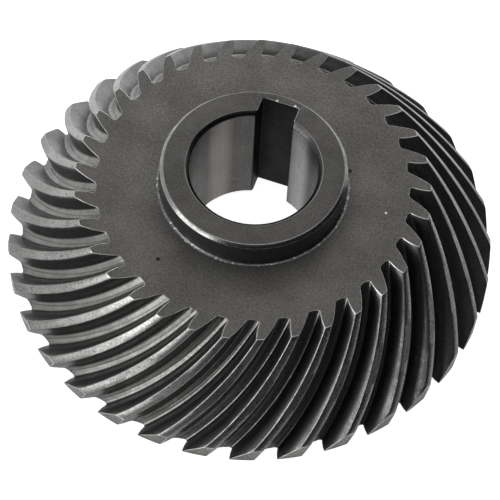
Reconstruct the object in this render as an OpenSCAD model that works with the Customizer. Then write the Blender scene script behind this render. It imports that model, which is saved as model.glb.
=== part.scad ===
// Spiral bevel gear: one solid with a short hub, a plain bore and one keyway.
// Millimetres, +Z up. The origin is the centre of the flat back face, on the axis.
// The keyway points along +Y.

/* [Blank] */
// Outside diameter of the rim, over the teeth
outside_d = 78; // [74:0.5:84]
// Height of the plain rim band at the big end of the teeth
rim_h = 2.9; // [1.5:0.1:4]
// Height of the front face above the back face
front_h = 18.2; // [16:0.1:21]
// Diameter over the teeth at the front face
toe_d = 55.8; // [54:0.2:60]

/* [Hub] */
// Outside diameter of the hub
hub_d = 29.2; // [28:0.2:36]
// Height of the hub above the front face
hub_h = 4.8; // [2:0.1:12]
// Bevel round the top of the hub
hub_chamfer = 0.5; // [0.2:0.1:0.8]
// Fillet where the hub meets the front face
hub_fillet = 0.5; // [0.2:0.1:1.2]

/* [Bore and keyway] */
// Diameter of the bore
bore_d = 20; // [14:0.5:21]
// Bevel at both ends of the bore
bore_chamfer = 0.7; // [0.3:0.1:0.8]
// Width of the keyway
key_w = 6; // [4:0.5:8]
// Depth of the keyway beyond the bore
key_depth = 2.8; // [1.8:0.1:3.2]

/* [Teeth] */
// Number of teeth
teeth = 33; // [27:1:34]
// Turn from the keyway to the middle of the nearest tooth space
slot_turn = 0.1; // [-5:0.1:5]
// Depth of a tooth space at the front face, square to the tooth tips
toe_depth = 2.7; // [2.2:0.1:3]
// Depth of a tooth space at the rim, square to the tooth tips
heel_depth = 3.3; // [2.9:0.1:3.7]
// Angle between a tooth and the straight line down the cone, at the middle of the face
spiral_angle = 35; // [27:0.5:38]
// Radius of the cutter's round path, laid flat on the cone
cutter_r = 53.4; // [45:0.2:80]
// Slope of the slot side nearer to the cutter's centre, from the line square to the floor
inner_angle = 23.5; // [20:0.5:25]
// Slope of the slot side farther from the cutter's centre, from the line square to the floor
outer_angle = 17.5; // [14:0.5:22]
// Width of the slot floor between its two sides
floor_w = 1.6; // [1.3:0.05:1.7]
// Fillet along both edges of the slot floor
root_fillet = 0.5; // [0.25:0.05:0.65]

/* [Hidden] */
$fn = 180;
// How far a cut runs past the surface that it opens
clear = 0.5;
rim_r = outside_d / 2;
toe_r = toe_d / 2;
bore_r = bore_d / 2;
hub_r = hub_d / 2;
total_h = front_h + hub_h;
// Cones of the tooth tips and of the slot floors, as angles from the axis
face_w = norm([rim_r - toe_r, front_h - rim_h]);
face_angle = atan2(rim_r - toe_r, front_h - rim_h);
root_angle = face_angle - atan((heel_depth - toe_depth) / face_w);
// Middle of the slot floor, square under the middle of the tooth tips
mean_depth = (toe_depth + heel_depth) / 2;
mean_r = (toe_r + rim_r) / 2 - mean_depth * cos(face_angle);
mean_z = (front_h + rim_h) / 2 - mean_depth * sin(face_angle);
// The cutter leans so that its round path also bends with the cone
cone_bend = pow(sin(spiral_angle), 2) * cos(root_angle) / mean_r;
cutter_tilt = atan(cone_bend * cutter_r);
path_r = cutter_r * cos(cutter_tilt);
blade_h = max(toe_depth, heel_depth) + clear;
// Swing of the cutter each way from the middle of the floor, to past the blank
path_per_height = 1 / cos(root_angle) / cos(spiral_angle);
toe_run = 0.5 * blade_h;
heel_run = 1.5 * blade_h;
toe_swing = ((front_h - mean_z) * path_per_height + toe_run) / path_r * 180 / PI;
heel_swing = (mean_z * path_per_height + heel_run) / path_r * 180 / PI;

// Half section of the blank, from the bore outwards
module blank_profile() {
    mouth_r = bore_r + bore_chamfer;
    difference() {
        polygon([
            [mouth_r, 0],
            [rim_r, 0],
            [rim_r, rim_h],
            [toe_r, front_h],
            [hub_r + hub_fillet, front_h],
            [hub_r, front_h + hub_fillet],
            [hub_r, total_h - hub_chamfer],
            [hub_r - hub_chamfer, total_h],
            [mouth_r, total_h],
            [bore_r, total_h - bore_chamfer],
            [bore_r, bore_chamfer]
        ]);
        translate([hub_r + hub_fillet, front_h + hub_fillet])
            circle(hub_fillet);
    }
}

// Middle of a round corner of the cutter blade, and where it runs into the blade's side
function corner_x(slope) = floor_w / 2 - root_fillet / cos(slope) + root_fillet * tan(slope);
function side_x(slope) = corner_x(slope) + root_fillet * cos(slope);
function side_y(slope) = root_fillet * (1 - sin(slope));
function top_x(slope) = floor_w / 2 + blade_h * tan(slope);

// Section of the cutter blade: tapered, with two round corners at its tip
module blade_profile() {
    polygon([
        [-corner_x(inner_angle), 0],
        [corner_x(outer_angle), 0],
        [side_x(outer_angle), side_y(outer_angle)],
        [top_x(outer_angle), blade_h],
        [-top_x(inner_angle), blade_h],
        [-side_x(inner_angle), side_y(inner_angle)]
    ]);
    translate([corner_x(outer_angle), root_fillet])
        circle(root_fillet);
    translate([-corner_x(inner_angle), root_fillet])
        circle(root_fillet);
}

// One tooth space: the blade swept along its round path over the cone
module tooth_space() {
    translate([mean_r, 0, mean_z])
        rotate([0, 90 - root_angle, 0])
            rotate([0, 0, -spiral_angle])
                rotate([cutter_tilt, 0, 0])
                    translate([0, -path_r, 0])
                        rotate_extrude(angle = toe_swing + heel_swing, start = 90 - heel_swing)
                            translate([path_r, 0])
                                rotate(-cutter_tilt)
                                    blade_profile();
}

module keyway() {
    translate([-key_w / 2, 0, -clear])
        cube([key_w, bore_r + key_depth, total_h + 2 * clear]);
}

module bevel_gear() {
    color("#4a4845")
        difference() {
            rotate_extrude() blank_profile();
            for (i = [0:teeth - 1])
                rotate([0, 0, 90 + slot_turn + i * 360 / teeth])
                    tooth_space();
            keyway();
        }
}

bevel_gear();
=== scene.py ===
import math
import bpy
import bmesh
from mathutils import Matrix, Vector


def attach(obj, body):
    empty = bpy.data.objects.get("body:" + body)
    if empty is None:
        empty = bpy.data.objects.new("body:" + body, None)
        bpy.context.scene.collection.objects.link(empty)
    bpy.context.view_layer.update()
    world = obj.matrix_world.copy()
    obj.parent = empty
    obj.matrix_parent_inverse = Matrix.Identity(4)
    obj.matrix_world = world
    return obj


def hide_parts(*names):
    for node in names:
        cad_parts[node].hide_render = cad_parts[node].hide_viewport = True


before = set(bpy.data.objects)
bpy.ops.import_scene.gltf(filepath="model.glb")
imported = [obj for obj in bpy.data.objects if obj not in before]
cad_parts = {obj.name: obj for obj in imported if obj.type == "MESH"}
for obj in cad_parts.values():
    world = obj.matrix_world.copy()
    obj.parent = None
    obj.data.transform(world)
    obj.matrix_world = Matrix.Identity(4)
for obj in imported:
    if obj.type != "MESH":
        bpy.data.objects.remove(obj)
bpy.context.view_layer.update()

mm = 0.001

# sizes in millimetres: the blank, the hub and the bore have the solid's own,
# and the sides of the tooth spaces are shaped more finely than its blade
gearBlank = {
    "outsideDia": 78.0,
    "rimHeight": 2.9,
    "frontHeight": 18.2,
    "toeDia": 55.8,
    "edgeBreak": 0.16,        # how far the worn edges are rounded back
    "tipBreak": 0.11,         # the same along the tooth tips
    "edgePull": 0.29,         # how far the middle of a rounded edge sits inside the sharp corner
    "faceShare": 0.5,         # share of the edge break that lies on the flat faces
    # radii of the rings of points on the flat faces
    "frontRings": (17.5, 21.0),
    "lastFrontRing": 22.9,
    "backRings": (15.5, 20.0, 25.0, 30.0, 34.0),
}
hubAndBore = {
    "hubDia": 29.2,
    "hubHeight": 4.8,
    "hubChamfer": 0.5,
    "hubFillet": 0.5,
    "boreDia": 20.0,
    "boreChamfer": 0.7,
    "keyWidth": 6.0,
    "keyDepth": 2.8,
    "arcPoints": 150,
    "wallPoints": 4,
    "floorPoints": 9,
}
teeth = {
    "count": 33,
    "slotTurn": -0.5,         # degrees, set with the sides below
    "toeDepth": 2.7,
    "heelDepth": 3.3,
    "spiralAngle": 35.0,
    "cutterRadius": 53.4,
    "rootFillet": 0.6,
    # degrees on the cutter's path between which the sides change
    "toeSwing": 105.0,
    "heelSwing": 73.0,
    # half floor width and slope of each side of a space
    "innerSide": {"toe": (0.82, 17.5), "heel": (0.25, 32.5)},
    "outerSide": {"toe": (0.86, 21.0), "heel": (1.27, 17.0)},
    # bulge of each flank, and its fall near the tip
    "innerSwell": {"toe": (0.06, 0.05), "heel": (0.12, 0.05)},
    "outerSwell": {"toe": (0.16, 0.07), "heel": (0.20, 0.10)},
    # middle, half width and depth of the line along the floor
    "rootLine": (0.28, 0.10, 0.05),
    "stations": 24,           # steps along a tooth
}

# derived sizes of the blank
rimR = gearBlank["outsideDia"] / 2
toeR = gearBlank["toeDia"] / 2
rimH = gearBlank["rimHeight"]
frontH = gearBlank["frontHeight"]
hubR = hubAndBore["hubDia"] / 2
boreR = hubAndBore["boreDia"] / 2
totalH = frontH + hubAndBore["hubHeight"]
edgeB = gearBlank["edgeBreak"]
tipB = gearBlank["tipBreak"]
faceB = edgeB * gearBlank["faceShare"]
pitch = 2 * math.pi / teeth["count"]

# derived sizes of a tooth space: a cutter blade on a round path that follows the root cone
faceWidth = math.hypot(rimR - toeR, frontH - rimH)
faceAngle = math.atan2(rimR - toeR, frontH - rimH)
rootAngle = faceAngle - math.atan((teeth["heelDepth"] - teeth["toeDepth"]) / faceWidth)
meanDepth = (teeth["toeDepth"] + teeth["heelDepth"]) / 2
meanR = (toeR + rimR) / 2 - meanDepth * math.cos(faceAngle)
meanZ = (frontH + rimH) / 2 - meanDepth * math.sin(faceAngle)
spiral = math.radians(teeth["spiralAngle"])
coneBend = math.sin(spiral) ** 2 * math.cos(rootAngle) / meanR
cutterTilt = math.atan(coneBend * teeth["cutterRadius"])
pathR = teeth["cutterRadius"] * math.cos(cutterTilt)
toeSwing, heelSwing = math.radians(teeth["toeSwing"]), math.radians(teeth["heelSwing"])
cutterPlace = (
    Matrix.Translation((meanR, 0, meanZ))
    @ Matrix.Rotation(math.pi / 2 - rootAngle, 4, "Y")
    @ Matrix.Rotation(-spiral, 4, "Z")
    @ Matrix.Rotation(cutterTilt, 4, "X")
    @ Matrix.Translation((0, -pathR, 0))
)


def cutPoint(across, height, swing):
    # a point of the cutter blade, swung along its path
    reach = pathR + across * math.cos(cutterTilt) + height * math.sin(cutterTilt)
    lift = -across * math.sin(cutterTilt) + height * math.cos(cutterTilt)
    return cutterPlace @ Vector((reach * math.cos(swing), reach * math.sin(swing), lift))


def aboveTip(point):
    # distance outside the cone that the tooth tips lie on
    radius = math.hypot(point.x, point.y)
    return (radius - toeR) * math.cos(faceAngle) + (point.z - frontH) * math.sin(faceAngle)


def between(values, swing):
    # a pair of values that changes evenly from the toe to the heel
    share = (swing - heelSwing) / (toeSwing - heelSwing)
    return [h + (t - h) * share for t, h in zip(values["toe"], values["heel"])]


def sideAt(side, swing):
    # half floor width and slope of one side
    width, slope = between(teeth["outerSide" if side > 0 else "innerSide"], swing)
    return width, math.radians(slope)


def swell(side, height, swing):
    # a flank is a little convex and curves away towards the tip, which stays in its place
    bulge, fall = between(teeth["outerSwell" if side > 0 else "innerSwell"], swing)
    share = (swing - heelSwing) / (toeSwing - heelSwing)
    up = height / (teeth["heelDepth"] + (teeth["toeDepth"] - teeth["heelDepth"]) * share)
    return fall * max(0.0, 2 * up - 1) ** 2 - fall * up - 4 * bulge * up * (1 - up)


def flankPoint(side, height, swing):
    width, slope = sideAt(side, swing)
    across = width + height * math.tan(slope) + swell(side, height, swing)
    return cutPoint(side * across, height, swing)


guessSteps, swingHalvings, shareHalvings = 12, 42, 30
closeEnough = 1e-8


def tipHeight(side, swing):
    # where a flank meets the tip cone, closed in on from two guesses
    before, here = 2.0, 4.0
    gapBefore = aboveTip(flankPoint(side, before, swing))
    for step in range(guessSteps):
        gap = aboveTip(flankPoint(side, here, swing))
        if abs(gap) < closeEnough or gap == gapBefore:
            break
        before, here, gapBefore = here, here - gap * (here - before) / (gap - gapBefore), gap
    return here


filletR = teeth["rootFillet"]


def filletTop(side, swing):
    return filletR * (1 - math.sin(sideAt(side, swing)[1]))


def flankLane(side, share, below=0.0):
    # a line along a flank, at a share of its height or a little below the tip
    def lane(swing):
        tip, foot = tipHeight(side, swing), filletTop(side, swing)
        return flankPoint(side, foot + share * (tip - foot) - below, swing)
    return lane


def rootLane(side, share):
    # a line along the root fillet, from the floor to the flank
    def lane(swing):
        width, slope = sideAt(side, swing)
        middle = width - filletR / math.cos(slope) + filletR * math.tan(slope)
        turn = -math.pi / 2 + (math.pi / 2 - slope) * share
        across = middle + filletR * math.cos(turn)
        return cutPoint(side * across, filletR + filletR * math.sin(turn), swing)
    return lane


def floorLane(across, height=0.0):
    return lambda swing: cutPoint(across, height, swing)


def swingWhere(test, lane, start, stop):
    # the swing at which the test changes sign along a lane
    for step in range(swingHalvings):
        middle = (start + stop) / 2
        if test(lane(middle)):
            start = middle
        else:
            stop = middle
    return (start + stop) / 2


midSwing = math.pi / 2
farSwing = 0.5


def toeEnd(lane):
    return swingWhere(lambda p: p.z < frontH, lane, midSwing, midSwing + farSwing)


def inRim(point):
    return math.hypot(point.x, point.y) < rimR


def heelEnd(lane):
    return swingWhere(lambda p: p.z > 0 and inRim(p), lane, midSwing, midSwing - farSwing)


def cornerShare(side):
    # the share of the flank's height whose lane leaves through the bottom edge of the rim
    low, high = 0.0, 1.0
    for step in range(shareHalvings):
        middle = (low + high) / 2
        lane = flankLane(side, middle)
        end = swingWhere(inRim, lane, midSwing, midSwing - farSwing)
        if lane(end).z > 0:
            high = middle
        else:
            low = middle
    return (low + high) / 2


def stationsOf(lane):
    # the two ends of a lane and the steps between them
    toe, heel = toeEnd(lane), heelEnd(lane)
    inset = edgeB / pathR
    steps = teeth["stations"]
    span = heel - toe + 2 * inset
    swings = [toe - inset + span * k / steps for k in range(steps + 1)]
    return [lane(s) for s in [toe] + swings + [heel]]


# lanes across one tooth space, from its left tip to its right tip
filletShares = [0.0, 0.25, 0.5, 0.75]
leftCorner, rightCorner = cornerShare(-1), cornerShare(1)


def flankShares(corner):
    return [0.0, corner * 0.5, corner, corner + (1 - corner) / 3, corner + (1 - corner) * 2 / 3]


rightFlank = [flankLane(1, s) for s in flankShares(rightCorner)] + [flankLane(1, 1.0, tipB)]
leftFlank = [flankLane(-1, s) for s in flankShares(leftCorner)] + [flankLane(-1, 1.0, tipB)]
leftRoot = [rootLane(-1, share) for share in filletShares[::-1]]
rightRoot = [rootLane(1, share) for share in filletShares]
lineMiddle, lineHalf, lineDepth = teeth["rootLine"]
floorRow = [
    floorLane(lineMiddle - lineHalf),
    floorLane(lineMiddle, -lineDepth),
    floorLane(lineMiddle + lineHalf),
]
rootRow = leftRoot + floorRow + rightRoot
slotLanes = [stationsOf(lane) for lane in leftFlank[::-1] + rootRow + rightFlank]
leftTip, rightTip = stationsOf(flankLane(-1, 1.0)), stationsOf(flankLane(1, 1.0))
cornerLanes = (3, len(slotLanes) - 4)     # lanes that end on the bottom edge of the rim
print("tooth space worked out:", len(slotLanes), "lanes")


def turned(points, angle):
    turn = Matrix.Rotation(angle, 4, "Z")
    return [turn @ p for p in points]


def onTipCone(point):
    radius = math.hypot(point.x, point.y)
    wanted = toeR + (frontH - point.z) * math.tan(faceAngle)
    return Vector((point.x * wanted / radius, point.y * wanted / radius, point.z))


def softCorner(corner, one, two):
    return corner + gearBlank["edgePull"] * ((one - corner) + (two - corner))


# the land on top of a tooth, between this space's right tip and the next one's left tip
nextTip = turned(leftTip, pitch)
nextFlank = turned(slotLanes[0], pitch)
landLanes = []
for one, two in zip(rightTip, nextTip):
    across = (two - one).normalized() * tipB
    landLanes.append([onTipCone(p) for p in (one + across, (one + two) / 2, two - across)])
rightRound = [softCorner(tip, land[0], side) for tip, land, side in zip(rightTip, landLanes, slotLanes[-1])]
leftRound = [softCorner(tip, land[2], side) for tip, land, side in zip(nextTip, landLanes, nextFlank)]
pitchLanes = slotLanes + [rightRound] + [[land[k] for land in landLanes] for k in range(3)] + [leftRound]
laneCount = len(pitchLanes)
lastSlotLane = len(slotLanes) - 1
landRange = range(lastSlotLane + 2, laneCount - 1)


def laneAt(index, end):
    # the end point of a lane of this or a neighbouring tooth
    shift, lane = divmod(index, laneCount)
    point = pitchLanes[lane][end]
    return Matrix.Rotation(shift * pitch, 4, "Z") @ point


def onRim(lane):
    return lane <= cornerLanes[0] or lane >= cornerLanes[1]


def flatOffset(index, end, left):
    # a point moved sideways into the flat face that its end outline bounds
    before, here, after = (laneAt(index + k, end) for k in (-1, 0, 1))
    along = Vector((after.x - before.x, after.y - before.y, 0)).normalized()
    return here + Vector((-along.y, along.x, 0)) * left


def rimOffset(index):
    # a point moved sideways into the rim, in the rim's own unrolled plane
    lane = index % laneCount
    here = laneAt(index, -1)
    if lane in cornerLanes:
        swing = faceB / rimR * (1 if lane == cornerLanes[1] else -1)
        return Matrix.Rotation(swing, 4, "Z") @ here
    before = laneAt(index - 1, -1) if onRim((lane - 1) % laneCount) else here
    after = laneAt(index + 1, -1) if onRim((lane + 1) % laneCount) else here
    turn = math.atan2(here.y, here.x)
    around = [math.remainder(math.atan2(p.y, p.x) - turn, 2 * math.pi) * rimR for p in (before, after)]
    along = Vector((around[1] - around[0], after.z - before.z)).normalized()
    angle = turn + along.y * faceB / rimR
    return Vector((rimR * math.cos(angle), rimR * math.sin(angle), here.z - along.x * faceB))


# rows of one tooth from the front face over the tooth to the rim or the back
toothRows = []
for k in range(laneCount):
    toe, first = pitchLanes[k][0], pitchLanes[k][1]
    heel, last = pitchLanes[k][-1], pitchLanes[k][-2]
    frontIn = flatOffset(k, 0, faceB)
    heelIn = rimOffset(k) if onRim(k) else flatOffset(k, -1, faceB)
    toeRound, heelRound = softCorner(toe, frontIn, first), softCorner(heel, heelIn, last)
    toothRows.append([frontIn, toeRound] + pitchLanes[k][1:-1] + [heelRound, heelIn])
rowCount = len(toothRows[0])

zoneNames = [
    "blastedFace", "hubTop", "tipLand", "tipEdge", "toothFlank", "toothRoot", "rootLine", "wornEdgeAndHighlight",
    "rimSteel", "hubWall", "hubFoot", "hubChamfer", "turnedBore", "boreChamfer", "keyway",
]
zone = {name: k for k, name in enumerate(zoneNames)}
gearMesh = bmesh.new()
faceWeight = gearMesh.faces.layers.int.new("__mod_weightednormals_faceweight")
# the normal at a point follows its strongest face, so the flat faces stay flat up to their edges
strong, weak = 16384, -16384
edgeWeight = {"wornEdgeAndHighlight": weak, "tipEdge": weak, "blastedFace": strong, "hubTop": strong}


def addPoint(x, y, z):
    return gearMesh.verts.new((x * mm, y * mm, z * mm))


def addFace(corners, zoneName):
    face = gearMesh.faces.new(corners)
    face.material_index = zone[zoneName]
    face.smooth = True
    face[faceWeight] = edgeWeight.get(zoneName, 0)
    return face


def joinRows(one, two, zoneName, closed=True):
    # quads between two rows of points
    count = len(one)
    for k in range(count if closed else count - 1):
        n = (k + 1) % count
        addFace((one[k], one[n], two[n], two[k]), zoneName)


def angleOf(vert):
    return math.atan2(vert.co.y, vert.co.x) % (2 * math.pi)


def unrolled(ring, start):
    # the angles of a ring's points, counted on past a full turn
    angles = []
    for vert in ring:
        start += math.remainder(angleOf(vert) - start, 2 * math.pi)
        angles.append(start)
    return angles + [angles[0] + 2 * math.pi]


def stitchRings(one, two, zoneName):
    # triangles between two rings that have different numbers of points
    start = angleOf(one[0])
    first = min(range(len(two)), key=lambda k: abs(math.remainder(angleOf(two[k]) - start, 2 * math.pi)))
    rings = [one, two[first:] + two[:first]]
    turns = [unrolled(ring, start) for ring in rings]
    spots = [0, 0]
    counts = [len(one), len(two)]
    while spots != counts:
        ahead = [turns[r][spots[r] + 1] if spots[r] < counts[r] else math.inf for r in (0, 1)]
        move = 0 if ahead[0] <= ahead[1] else 1
        here = [rings[r][spots[r] % counts[r]] for r in (0, 1)]
        addFace((here[0], here[1], rings[move][(spots[move] + 1) % counts[move]]), zoneName)
        spots[move] += 1


# the toothed surface
startTurn = math.pi / 2 + math.radians(teeth["slotTurn"])
columns = []
for tooth in range(teeth["count"]):
    turn = Matrix.Rotation(startTurn + tooth * pitch, 4, "Z")
    for lane in toothRows:
        columns.append([addPoint(*(turn @ p)) for p in lane])
for index, column in enumerate(columns):
    follower = columns[(index + 1) % len(columns)]
    lane = index % laneCount
    onRoot = len(leftFlank) <= lane < len(leftFlank) + len(rootRow) - 1
    onLine = len(leftFlank) + len(leftRoot) <= lane < len(leftFlank) + len(leftRoot) + 2
    onLand = lane in landRange[:-1]
    onEdge = lastSlotLane <= lane <= laneCount - 1 and not onLand
    for row in range(rowCount - 1):
        endEdge = row < 2 or row > rowCount - 4
        name = "rootLine" if onLine else "toothRoot" if onRoot else "toothFlank"
        name = "tipEdge" if onEdge else "tipLand" if onLand else name
        name = ("tipEdge" if onRoot else "wornEdgeAndHighlight") if endEdge else name
        addFace((column[row], column[row + 1], follower[row + 1], follower[row]), name)

# the outer ends of the teeth, between the spaces
rimBottoms = []
rimSteps = len(landRange)
for tooth in range(teeth["count"]):
    base = tooth * laneCount
    leftSide = [columns[base + lane][-1] for lane in range(cornerLanes[1], lastSlotLane + 2)]
    crown = [columns[base + lane][-1] for lane in landRange]
    last = base + laneCount - 1
    following = [columns[(last + k) % len(columns)][-1] for k in range(cornerLanes[0] + 2)]
    rightSide = following[::-1]
    rows = []
    for one, two in zip(leftSide[:-1], rightSide[:-1]):
        startAngle, span = angleOf(one), math.remainder(angleOf(two) - angleOf(one), 2 * math.pi)
        row = [one]
        for k in range(rimSteps):
            share = (k + 1) / (rimSteps + 1)
            angle = startAngle + span * share
            height = one.co.z + (two.co.z - one.co.z) * share
            row.append(addPoint(rimR * math.cos(angle), rimR * math.sin(angle), height / mm))
        rows.append(row + [two])
    rows.append([leftSide[-1]] + crown + [rightSide[-1]])
    for one, two in zip(rows, rows[1:]):
        joinRows(one, two, "rimSteel", closed=False)
    rimBottoms.append(rows[0][1:-1])

# the opening of bore and keyway, as one outline
keyHalf = hubAndBore["keyWidth"] / 2
keyFloor = boreR + hubAndBore["keyDepth"]


def openingOutline(radius):
    # the round part, then the keyway's right wall, floor and left wall
    keyTurn = math.asin(keyHalf / radius) + edgeB / radius
    sweep = 2 * math.pi - 2 * keyTurn
    points = []
    for k in range(hubAndBore["arcPoints"] + 1):
        angle = math.pi / 2 + keyTurn + sweep * k / hubAndBore["arcPoints"]
        points.append(Vector((radius * math.cos(angle), radius * math.sin(angle))))
    mouthY = math.sqrt(radius ** 2 - keyHalf ** 2)
    mouth = Vector((keyHalf, mouthY))
    wallFoot = Vector((keyHalf, mouthY + edgeB))
    points.append(softCorner(mouth, points[-1], wallFoot))
    steps = hubAndBore["wallPoints"]
    wallTop = keyFloor - edgeB
    wall = [Vector((keyHalf, wallFoot.y + (wallTop - wallFoot.y) * k / steps)) for k in range(steps + 1)]
    corner = Vector((keyHalf, keyFloor))
    floorStart = Vector((keyHalf - edgeB, keyFloor))
    wall.append(softCorner(corner, wall[-1], floorStart))
    points.extend(wall)
    across = hubAndBore["floorPoints"]
    points.extend(
        Vector((floorStart.x * (1 - 2 * k / across), keyFloor)) for k in range(across + 1))
    points.extend(Vector((-p.x, p.y)) for p in wall[::-1])
    rightMouth = points[hubAndBore["arcPoints"] + 1]
    points.append(Vector((-rightMouth.x, rightMouth.y)))
    return points


def outwardOffset(points, distance):
    # the outline goes round against the clock, so its outside is on the right
    moved = []
    for k, here in enumerate(points):
        along = (points[(k + 1) % len(points)] - points[k - 1]).normalized()
        moved.append(here + Vector((along.y, -along.x)) * distance)
    return moved


def openingRow(points, height):
    return [addPoint(p.x, p.y, height) for p in points]


def joinOpening(one, two, boreName, keyName):
    # quads between two opening rows, the keyway's part of them in a zone of its own
    count = len(one)
    for k in range(count):
        n = (k + 1) % count
        name = boreName if k < hubAndBore["arcPoints"] else keyName
        addFace((one[k], one[n], two[n], two[k]), name)


mouthR = boreR + hubAndBore["boreChamfer"]
softB = edgeB * 0.5
mouthOutline = openingOutline(mouthR)
rimOutline = outwardOffset(mouthOutline, faceB)
middleOutline = [softCorner(m, r, m) for m, r in zip(mouthOutline, rimOutline)]
chamferOutlines = [openingOutline(mouthR - softB), openingOutline(boreR + softB)]
throatOutline = openingOutline(boreR)
openingEnds = []
boreRows = []
for height, way in ((totalH, -1), (0, 1)):
    chamferEnd = height + way * hubAndBore["boreChamfer"]
    top = openingRow(rimOutline, height)
    middle = openingRow(middleOutline, height + way * softB * gearBlank["edgePull"])
    upper = openingRow(chamferOutlines[0], height + way * softB)
    lower = openingRow(chamferOutlines[1], chamferEnd - way * softB)
    throat = openingRow(throatOutline, chamferEnd + way * softB)
    joinOpening(top, middle, "hubTop", "wornEdgeAndHighlight")
    joinOpening(middle, upper, "hubChamfer", "wornEdgeAndHighlight")
    joinOpening(upper, lower, "boreChamfer", "keyway")
    joinOpening(lower, throat, "wornEdgeAndHighlight", "keyway")
    openingEnds.append(top)
    boreRows.append((throat, chamferEnd + way * softB))
boreSteps = 10
lastRow, topHeight = boreRows[0]
bottomRow, bottomHeight = boreRows[1]
for k in range(1, boreSteps):
    row = openingRow(throatOutline, topHeight + (bottomHeight - topHeight) * k / boreSteps)
    joinOpening(lastRow, row, "turnedBore", "keyway")
    lastRow = row
joinOpening(lastRow, bottomRow, "turnedBore", "keyway")

# the hub and the front face as rings that share the opening's angles
ringAngles = [math.atan2(p.y, p.x) for p in rimOutline]


def ringRow(radius, height):
    return [addPoint(radius * math.cos(a), radius * math.sin(a), height) for a in ringAngles]


chamferR = hubR - hubAndBore["hubChamfer"]
chamferZ = totalH - hubAndBore["hubChamfer"]
fillet = hubAndBore["hubFillet"]
# steps of the points on the rounding of both chamfer edges
along, inward, end = softB * 0.1, softB * 0.22, softB * 0.7
hubProfile = [
    (chamferR - softB, totalH, "hubTop"),
    (chamferR - along, totalH - inward, "hubChamfer"),
    (chamferR + end, totalH - end, "hubChamfer"),
    (hubR - end, chamferZ + end, "hubChamfer"),
    (hubR - inward, chamferZ + along, "hubChamfer"),
    (hubR, chamferZ - softB, "hubChamfer"),
]
wallSteps = 4
wallFoot = frontH + fillet
for k in range(1, wallSteps + 1):
    share = k / wallSteps
    hubProfile.append((hubR, chamferZ - softB + (wallFoot - chamferZ + softB) * share, "hubWall"))
filletSteps = 5
for k in range(1, filletSteps + 1):
    turn = math.pi / 2 * k / filletSteps
    radius = hubR + fillet - fillet * math.cos(turn)
    hubProfile.append((radius, wallFoot - fillet * math.sin(turn), "hubFoot"))
row = openingEnds[0]
for radius, height, name in hubProfile:
    ring = ringRow(radius, height)
    joinRows(row, ring, name)
    row = ring
for radius in gearBlank["frontRings"]:
    ring = ringRow(radius, frontH)
    joinRows(row, ring, "blastedFace")
    row = ring

# the flat faces: a polygon on each tooth, and rings inside the roots of the spaces
rootStart = len(leftFlank) + 2              # lanes of the floor and the foot of its fillets
rootStop = len(leftFlank) + len(rootRow) - 3
frontLoop, backLoop = [], []
for tooth in range(teeth["count"]):
    base = tooth * laneCount
    lanesOn = [columns[(base + k) % len(columns)] for k in range(2 * laneCount)]
    frontLoop.extend(column[0] for column in lanesOn[rootStart:rootStop + 1])
    backLoop.extend(column[-1] for column in lanesOn[rootStart:rootStop + 1])
    addFace([column[0] for column in lanesOn[rootStop:laneCount + rootStart + 1]], "blastedFace")
    outward = [column[-1] for column in lanesOn[rootStop:cornerLanes[1] + 1]]
    inward = [column[-1] for column in lanesOn[laneCount + cornerLanes[0]:laneCount + rootStart + 1]]
    addFace(outward + rimBottoms[tooth] + inward, "blastedFace")
frontRing = ringRow(gearBlank["lastFrontRing"], frontH)
joinRows(row, frontRing, "blastedFace")
stitchRings(frontRing, frontLoop, "blastedFace")
backRow = openingEnds[1]
for radius in gearBlank["backRings"]:
    ring = ringRow(radius, 0)
    joinRows(backRow, ring, "blastedFace")
    backRow = ring
stitchRings(backRow, backLoop, "blastedFace")

bmesh.ops.recalc_face_normals(gearMesh, faces=gearMesh.faces)
if gearMesh.calc_volume(signed=True) < 0:
    bmesh.ops.reverse_faces(gearMesh, faces=gearMesh.faces)
meshData = bpy.data.meshes.new("spiralGear")
gearMesh.to_mesh(meshData)
openEdges = sum(1 for e in gearMesh.edges if len(e.link_faces) != 2)
print("gear mesh:", len(gearMesh.faces), "faces,", openEdges, "open edges")
gearMesh.free()
gear = bpy.data.objects.new("spiralGear", meshData)
bpy.context.scene.collection.objects.link(gear)
weighted = gear.modifiers.new("flatFaces", "WEIGHTED_NORMAL")
weighted.mode = "FACE_AREA"
weighted.weight = 50
weighted.keep_sharp = False
weighted.use_face_influence = True


# shared effects, as node groups
def feed(tree, socket, value):
    if isinstance(value, bpy.types.NodeSocket):
        tree.links.new(value, socket)
    else:
        socket.default_value = value


def mathOf(tree, operation, *values):
    made = tree.nodes.new("ShaderNodeMath")
    made.operation = operation
    for socket, value in zip(made.inputs, values):
        feed(tree, socket, value)
    return made.outputs[0]


def vectorOf(tree, operation, one, two, output="Vector"):
    made = tree.nodes.new("ShaderNodeVectorMath")
    made.operation = operation
    feed(tree, made.inputs[0], one)
    feed(tree, made.inputs["Scale" if operation == "SCALE" else 1], two)
    return made.outputs[output]


def noiseOf(tree, place, size, detail, rough=0.6):
    # a noise whose grains are about size millimetres across
    made = tree.nodes.new("ShaderNodeTexNoise")
    feed(tree, made.inputs["Vector"], place)
    feed(tree, made.inputs["Scale"], mathOf(tree, "DIVIDE", 1 / mm, size))
    made.inputs["Detail"].default_value = detail
    made.inputs["Roughness"].default_value = rough
    return made.outputs[0]


def mapped(tree, value, low, high, toLow=0.0, toHigh=1.0):
    made = tree.nodes.new("ShaderNodeMapRange")
    for socket, number in zip(made.inputs, (value, low, high, toLow, toHigh)):
        feed(tree, socket, number)
    return made.outputs[0]


def blended(tree, factor, one, two):
    made = tree.nodes.new("ShaderNodeMix")
    made.data_type = "RGBA"
    for index, value in ((0, factor), (6, one), (7, two)):
        feed(tree, made.inputs[index], value)
    return made.outputs[2]


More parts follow.
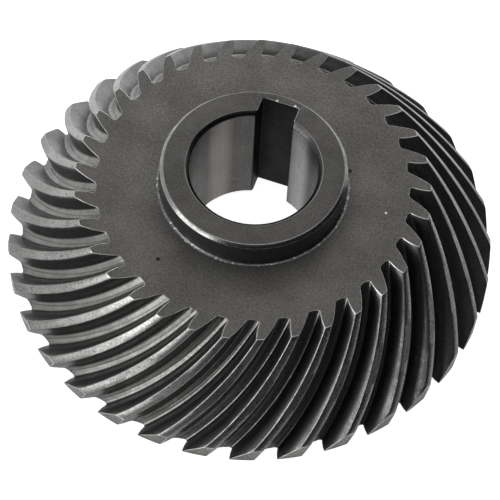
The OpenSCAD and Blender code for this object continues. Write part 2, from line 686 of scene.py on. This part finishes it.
def newGroup(name, inputs, outputs):
    kinds = {1: "NodeSocketFloat", 3: "NodeSocketVector", 4: "NodeSocketColor"}
    group = bpy.data.node_groups.new(name, "ShaderNodeTree")
    for label, value in inputs.items():
        kind = kinds[len(value) if isinstance(value, tuple) else 1]
        group.interface.new_socket(label, in_out="INPUT", socket_type=kind).default_value = value
    for label, size in outputs.items():
        group.interface.new_socket(label, in_out="OUTPUT", socket_type=kinds[size])
    entry = group.nodes.new("NodeGroupInput").outputs
    leave = group.nodes.new("NodeGroupOutput").inputs
    place = group.nodes.new("ShaderNodeTexCoord").outputs["Object"]
    return group, entry, leave, place


grey = (0.1, 0.1, 0.1, 1.0)
noiseRange, patchRange = (0.32, 0.68), (0.36, 0.64)     # what most of a noise lies between

# fine grain and broad patches in tone and roughness
steelGrain, entry, leave, place = newGroup("steelGrain", {
    "Color": grey, "Roughness": 0.5,
    "Grain Size": 0.3, "Grain Spread": 0.2, "Patch Size": 8.0, "Patch Spread": 0.08,
}, {"Color": 4, "Roughness": 1, "Height": 1})
fine = noiseOf(steelGrain, place, entry["Grain Size"], 3.0)
fineTone = mapped(steelGrain, fine, *noiseRange, -1.0, 1.0)
patches = noiseOf(steelGrain, place, entry["Patch Size"], 4.0)
patchTone = mapped(steelGrain, patches, *patchRange, -1.0, 1.0)
tone = mathOf(steelGrain, "MULTIPLY_ADD", fineTone, entry["Grain Spread"], 1.0)
tone = mathOf(steelGrain, "MULTIPLY_ADD", patchTone, entry["Patch Spread"], tone)
steelGrain.links.new(vectorOf(steelGrain, "SCALE", entry["Color"], tone), leave["Color"])
grainPolish, patchPolish = -0.05, -0.04     # the lighter places are the smoother ones
uneven = mathOf(steelGrain, "MULTIPLY_ADD", fineTone, grainPolish, entry["Roughness"])
uneven = mathOf(steelGrain, "MULTIPLY_ADD", patchTone, patchPolish, uneven)
steelGrain.links.new(uneven, leave["Roughness"])
steelGrain.links.new(fine, leave["Height"])

# spots where the surface is rubbed to another tone, and bright painted glints where they are used on the
# hub's foot
rubbedSpotsAndGlints, entry, leave, place = newGroup("rubbedSpotsAndGlints", {
    "Color": grey, "Spot Color": grey, "Spot Size": 1.0, "Share": 0.3,
}, {"Color": 4})
spots = noiseOf(rubbedSpotsAndGlints, place, entry["Spot Size"], 4.0, 0.65)
limit = mathOf(rubbedSpotsAndGlints, "MULTIPLY_ADD", entry["Share"], -0.4, 0.7)
share = mapped(rubbedSpotsAndGlints, spots, limit, mathOf(rubbedSpotsAndGlints, "ADD", limit, 0.1))
rubbedSpotsAndGlints.links.new(blended(rubbedSpotsAndGlints, share, entry["Color"], entry["Spot Color"]), leave["Color"])

# painted light and shade: a tone that changes from the heels to the toes of the teeth
paintedToeLightHeelShade, entry, leave, place = newGroup("paintedToeLightHeelShade", {
    "Color": grey, "Heel Tone": 1.0, "Toe Tone": 1.0,
}, {"Color": 4})
axes = paintedToeLightHeelShade.nodes.new("ShaderNodeSeparateXYZ")
feed(paintedToeLightHeelShade, axes.inputs[0], place)
tones = (entry["Heel Tone"], entry["Toe Tone"])
tone = mapped(paintedToeLightHeelShade, axes.outputs["Z"], rimH * mm, frontH * mm, *tones)
paintedToeLightHeelShade.links.new(vectorOf(paintedToeLightHeelShade, "SCALE", entry["Color"], tone), leave["Color"])

# lines drawn out along the axis of the gear
axialStreaks, entry, leave, place = newGroup("axialStreaks", {
    "Color": grey, "Line Width": 1.0, "Spread": 0.2,
}, {"Color": 4})
drawn = vectorOf(axialStreaks, "MULTIPLY", place, (1.0, 1.0, 0.05))      # twenty times as long as wide
lines = noiseOf(axialStreaks, drawn, entry["Line Width"], 4.0)
lines = mapped(axialStreaks, lines, *noiseRange, -1.0, 1.0)
tone = mathOf(axialStreaks, "MULTIPLY_ADD", lines, entry["Spread"], 1.0)
axialStreaks.links.new(vectorOf(axialStreaks, "SCALE", entry["Color"], tone), leave["Color"])

# an upright band of painted light and shade: lighter or darker, facing a direction from the axis
paintedLightAndShadeBand, entry, leave, place = newGroup("paintedLightAndShadeBand", {
    "Color": grey, "Band Color": grey, "Direction": (1.0, 0.0, 0.0), "Half Width": 2.0,
}, {"Color": 4})
middle = vectorOf(paintedLightAndShadeBand, "SCALE", entry["Direction"], boreR * mm)
flat = vectorOf(paintedLightAndShadeBand, "MULTIPLY", place, (1.0, 1.0, 0.0))
away = mathOf(paintedLightAndShadeBand, "DIVIDE", vectorOf(paintedLightAndShadeBand, "DISTANCE", flat, middle, "Value"), mm)
reach = mathOf(paintedLightAndShadeBand, "DIVIDE", away, entry["Half Width"])
share = mapped(paintedLightAndShadeBand, reach, 1.25, 0.35)      # fades out round the half width
paintedLightAndShadeBand.links.new(blended(paintedLightAndShadeBand, share, entry["Color"], entry["Band Color"]), leave["Color"])

# a small nick or pit at one place
nick, entry, leave, place = newGroup("nick", {
    "Color": grey, "Nick Color": grey, "Place": (0.0, 0.0, 0.0), "Size": 0.3,
}, {"Color": 4})
away = vectorOf(nick, "DISTANCE", place, vectorOf(nick, "SCALE", entry["Place"], mm), "Value")
ragged = mathOf(nick, "MULTIPLY_ADD", noiseOf(nick, place, 0.25, 2.0), 0.9, 0.55)
away = mathOf(nick, "DIVIDE", away, mm)
reach = mathOf(nick, "DIVIDE", away, mathOf(nick, "MULTIPLY", entry["Size"], ragged))
share = mapped(nick, reach, 1.15, 0.75)             # a short fade at its edge
nick.links.new(blended(nick, share, entry["Color"], entry["Nick Color"]), leave["Color"])

# one finish for each zone: colour, roughness, grain (size, spread), patches (size, spread),
# and the depth of the grain
finishes = {
    "blastedFace": ((0.116, 0.113, 0.108), 0.56, (0.32, 0.24), (9.0, 0.08), 0.020),
    "hubTop": ((0.083, 0.081, 0.077), 0.50, (0.32, 0.18), (5.0, 0.10), 0.012),
    "tipLand": ((0.26, 0.258, 0.252), 0.32, (0.28, 0.30), (6.0, 0.12), 0.020),
    "tipEdge": ((0.23, 0.228, 0.224), 0.28, (0.30, 0.20), (1.6, 0.25), 0.004),
    "toothFlank": ((0.132, 0.131, 0.129), 0.34, (0.35, 0.20), (4.0, 0.12), 0.008),
    "toothRoot": ((0.19, 0.188, 0.183), 0.32, (0.35, 0.16), (3.0, 0.14), 0.006),
    # the line along the floor: darker than the floor, painted shade in its groove
    "rootLine": ((0.13, 0.128, 0.125), 0.38, (0.35, 0.20), (3.0, 0.10), 0.006),
    # worn edges: their light colour is partly wear and partly a painted highlight along the edges
    "wornEdgeAndHighlight": ((0.50, 0.497, 0.49), 0.30, (0.30, 0.20), (1.6, 0.30), 0.006),
    "rimSteel": ((0.22, 0.217, 0.210), 0.42, (0.28, 0.36), (4.0, 0.12), 0.020),
    "hubWall": ((0.125, 0.124, 0.124), 0.44, (0.35, 0.16), (4.0, 0.10), 0.010),
    "hubFoot": ((0.15, 0.149, 0.149), 0.36, (0.35, 0.20), (2.0, 0.15), 0.010),
    # hub chamfer: its light colour is partly a painted highlight
    "hubChamfer": ((0.28, 0.279, 0.276), 0.22, (0.35, 0.20), (2.0, 0.15), 0.006),
    "turnedBore": ((0.185, 0.182, 0.177), 0.34, (0.30, 0.12), (5.0, 0.06), 0.006),
    # bore chamfer: dark, painted shade for the chamfer's reflection of the dark side
    "boreChamfer": ((0.06, 0.059, 0.058), 0.30, (0.35, 0.15), (3.0, 0.10), 0.006),
    # keyway: nearly black, painted shade in the recess
    "keyway": ((0.032, 0.032, 0.033), 0.45, (0.40, 0.25), (3.0, 0.15), 0.010),
}
bright, dark = (0.62, 0.61, 0.59, 1.0), (0.025, 0.024, 0.023, 1.0)
extras = {
    "blastedFace": [
        (nick, {"Nick Color": bright, "Place": (21.14, 2.15, frontH), "Size": 0.21}),
        (nick, {"Nick Color": dark, "Place": (13.46, 7.58, frontH), "Size": 0.34}),
        (nick, {"Nick Color": dark, "Place": (-9.04, -18.06, frontH), "Size": 0.36}),
    ],
    "tipLand": [
        # painted shade at the heels and painted light at the toes
        (paintedToeLightHeelShade, {"Heel Tone": 0.78, "Toe Tone": 1.30}),
        (rubbedSpotsAndGlints, {"Spot Color": (0.12, 0.119, 0.116, 1.0), "Spot Size": 0.45, "Share": 0.38}),
    ],
    "wornEdgeAndHighlight": [
        (rubbedSpotsAndGlints, {"Spot Color": (0.45, 0.445, 0.435, 1.0), "Spot Size": 1.2, "Share": 0.40}),
        # painted shade: the edges on the far side of the gear darkened
        (paintedLightAndShadeBand, {
            "Band Color": (0.13, 0.129, 0.127, 1.0), "Direction": (-0.77, 2.68, 0.0), "Half Width": 20.0}),
        (nick, {"Nick Color": bright, "Place": (29.6, 3.33, 15.6), "Size": 0.5}),
        (nick, {"Nick Color": bright, "Place": (-0.72, 12.9, totalH), "Size": 0.32}),
        (nick, {"Nick Color": bright, "Place": (2.3, 12.9, totalH), "Size": 0.36}),
        (nick, {"Nick Color": dark, "Place": (21.98, -17.79, 17.67), "Size": 0.5}),
    ],
    "toothFlank": [
        (nick, {"Nick Color": bright, "Place": (-29.7, -17.65, 9.03), "Size": 0.4}),
        (nick, {"Nick Color": bright, "Place": (-20.42, -23.14, 14.11), "Size": 0.4}),
    ],
    "hubChamfer": [
        (rubbedSpotsAndGlints, {"Spot Color": (0.32, 0.318, 0.315, 1.0), "Spot Size": 1.5, "Share": 0.42}),
        # painted shade: the chamfer darker on the far side
        (paintedLightAndShadeBand, {
            "Band Color": (0.15, 0.149, 0.147, 1.0), "Direction": (-0.40, 1.40, 0.0), "Half Width": 12.0}),
    ],
    "hubFoot": [
        # painted glints: bright spots along the fillet at the hub's foot
        (rubbedSpotsAndGlints, {"Spot Color": (0.62, 0.62, 0.62, 1.0), "Spot Size": 0.5, "Share": 0.35}),
    ],
    "hubTop": [
        (nick, {"Nick Color": bright, "Place": (-0.72, 13.0, totalH), "Size": 0.18}),
        (nick, {"Nick Color": bright, "Place": (2.3, 13.0, totalH), "Size": 0.20}),
    ],
    "turnedBore": [
        # painted reflections: two lighter upright bands on the bore wall, where it mirrors the white floor
        (paintedLightAndShadeBand, {
            "Band Color": (0.42, 0.395, 0.38, 1.0), "Direction": (-0.777, 0.629, 0.0), "Half Width": 2.0}),
        (paintedLightAndShadeBand, {
            "Band Color": (0.62, 0.62, 0.63, 1.0), "Direction": (0.5, 0.866, 0.0), "Half Width": 2.2}),
        (axialStreaks, {"Line Width": 1.1, "Spread": 0.12}),
        (rubbedSpotsAndGlints, {"Spot Color": (0.30, 0.29, 0.283, 1.0), "Spot Size": 0.5, "Share": 0.30}),
    ],
}


def steelMaterial(name):
    color, roughness, grain, patch, depth = finishes[name]
    material = bpy.data.materials.new(name)
    material.use_nodes = True
    tree = material.node_tree
    shader = tree.nodes["Principled BSDF"]
    shader.inputs["Metallic"].default_value = 1.0
    surface = tree.nodes.new("ShaderNodeGroup")
    surface.node_tree = steelGrain
    values = ((*color, 1.0), roughness, *grain, *patch)
    for socket, value in zip(surface.inputs, values):
        socket.default_value = value
    result = surface.outputs["Color"]
    for group, settings in extras.get(name, []):
        effect = tree.nodes.new("ShaderNodeGroup")
        effect.node_tree = group
        for label, value in settings.items():
            effect.inputs[label].default_value = value
        tree.links.new(result, effect.inputs["Color"])
        result = effect.outputs["Color"]
    tree.links.new(result, shader.inputs["Base Color"])
    tree.links.new(surface.outputs["Roughness"], shader.inputs["Roughness"])
    bump = tree.nodes.new("ShaderNodeBump")
    bump.inputs["Distance"].default_value = depth * mm
    tree.links.new(surface.outputs["Height"], bump.inputs["Height"])
    tree.links.new(bump.outputs["Normal"], shader.inputs["Normal"])
    return material


for name in zoneNames:
    meshData.materials.append(steelMaterial(name))
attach(gear, "root")
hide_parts("bevel_gear")
print("materials done:", len(meshData.materials))

# studio
studio = {
    "floorSize": 6.0,
    "floorDrop": 0.0001,      # just below the gear's back face
    "floorColor": (0.86, 0.86, 0.86, 1),
    "seenWhite": 0.90,        # added for rays from the camera
    "mirroredWhite": 0.30,    # added for reflected rays
    "worldLevel": 0.8,
    # azimuth, elevation, distance, width, height and radiance of each lamp
    "windowLight": (227, 19, 0.7, 0.50, 0.44, 2.6),
    "backLight": (111, 35, 0.30, 0.30, 0.12, 1.7),
    # the dark cloth: its start and stop round the gear, and the radius and height of its rows
    "clothTurn": (255, 400),
    "clothRows": [(0.12, 0.0005), (0.42, 0.0005), (0.42, 0.5)],
    "clothColor": (0.02, 0.02, 0.02, 1),
    "clothRoughness": 0.9,
}
scene = bpy.context.scene
scene.view_settings.view_transform = "Standard"
world = bpy.data.worlds.new("paleStudio")
scene.world = world
world.use_nodes = True
world.node_tree.nodes["Background"].inputs["Color"].default_value = (1, 1, 1, 1)
world.node_tree.nodes["Background"].inputs["Strength"].default_value = studio["worldLevel"]


def aimed(place, target, roll=0.0):
    back = (Vector(place) - Vector(target)).normalized()
    turn = back.to_track_quat("Z", "Y").to_matrix().to_4x4()
    return Matrix.Translation(place) @ turn @ Matrix.Rotation(roll, 4, "Z")


def around(azimuth, elevation, distance, target):
    a, e = math.radians(azimuth), math.radians(elevation)
    way = Vector((math.cos(e) * math.cos(a), math.cos(e) * math.sin(a), math.sin(e)))
    return Vector(target) + way * distance


gearMiddle = Vector((0, 0, 0.01))


def softBox(name, azimuth, elevation, distance, width, height, radiance):
    lamp = bpy.data.lights.new(name, "AREA")
    lamp.shape = "RECTANGLE"
    lamp.size, lamp.size_y = width, height
    lamp.energy = radiance * math.pi * width * height
    box = bpy.data.objects.new(name, lamp)
    scene.collection.objects.link(box)
    box.matrix_world = aimed(around(azimuth, elevation, distance, gearMiddle), gearMiddle)


for name in ("windowLight", "backLight"):
    softBox(name, *studio[name])


def darkScreen(name, start, stop, profile):
    # a curved card, flat on the floor and then upright, before the near and right sides of the gear
    steps, rows = 24, len(profile)
    points = []
    for k in range(steps + 1):
        angle = math.radians(start + (stop - start) * k / steps)
        points.extend((r * math.cos(angle), r * math.sin(angle), z) for r, z in profile)
    panels = []
    for k in range(steps):
        for row in range(rows - 1):
            one, two = k * rows + row, (k + 1) * rows + row
            panels.append((one, two, two + 1, one + 1))
    card = bpy.data.meshes.new(name)
    card.from_pydata(points, [], panels)
    cardObject = bpy.data.objects.new(name, card)
    scene.collection.objects.link(cardObject)
    cardObject.visible_camera = False
    cloth = bpy.data.materials.new(name)
    cloth.use_nodes = True
    shader = cloth.node_tree.nodes["Principled BSDF"]
    shader.inputs["Base Color"].default_value = studio["clothColor"]
    shader.inputs["Roughness"].default_value = studio["clothRoughness"]
    card.materials.append(cloth)


darkScreen("darkScreen", *studio["clothTurn"], studio["clothRows"])

floorMesh = bpy.data.meshes.new("floor")
half = studio["floorSize"] / 2
floorMesh.from_pydata(
    [(-half, -half, 0), (half, -half, 0), (half, half, 0), (-half, half, 0)], [], [(0, 1, 2, 3)])
floor = bpy.data.objects.new("floor", floorMesh)
scene.collection.objects.link(floor)
floor.location.z = -studio["floorDrop"]
paper = bpy.data.materials.new("whitePaper")
paper.use_nodes = True
tree = paper.node_tree
nodes, links = tree.nodes, tree.links
nodes.clear()
output = nodes.new("ShaderNodeOutputMaterial")
matte = nodes.new("ShaderNodeBsdfDiffuse")
matte.inputs["Color"].default_value = studio["floorColor"]
glow = nodes.new("ShaderNodeEmission")
rays = nodes.new("ShaderNodeLightPath")
mirrored = mathOf(tree, "MAXIMUM", rays.outputs["Is Glossy Ray"], rays.outputs["Is Transmission Ray"])
mirrored = mathOf(tree, "MULTIPLY", mirrored, studio["mirroredWhite"])
seen = mathOf(tree, "MULTIPLY_ADD", rays.outputs["Is Camera Ray"], studio["seenWhite"], mirrored)
links.new(seen, glow.inputs["Strength"])
both = nodes.new("ShaderNodeAddShader")
links.new(matte.outputs[0], both.inputs[0])
links.new(glow.outputs[0], both.inputs[1])
links.new(both.outputs[0], output.inputs["Surface"])
floorMesh.materials.append(paper)

# camera at the photograph's viewing angle
cameraPlace = {
    "target": (0.002172, -0.006805, 0.010),
    "azimuth": -73.50,
    "elevation": 58.594,
    "distance": 0.36927,
    "roll": 3.445,
    "lens": 168.83,
    "sensor": 36,
}
lens = bpy.data.cameras.new("camera")
lens.lens = cameraPlace["lens"]
lens.sensor_width = cameraPlace["sensor"]
camera = bpy.data.objects.new("camera", lens)
scene.collection.objects.link(camera)
target = Vector(cameraPlace["target"])
stand = around(cameraPlace["azimuth"], cameraPlace["elevation"], cameraPlace["distance"], target)
camera.matrix_world = aimed(stand, target, math.radians(cameraPlace["roll"]))
scene.camera = camera
print("studio and camera set")
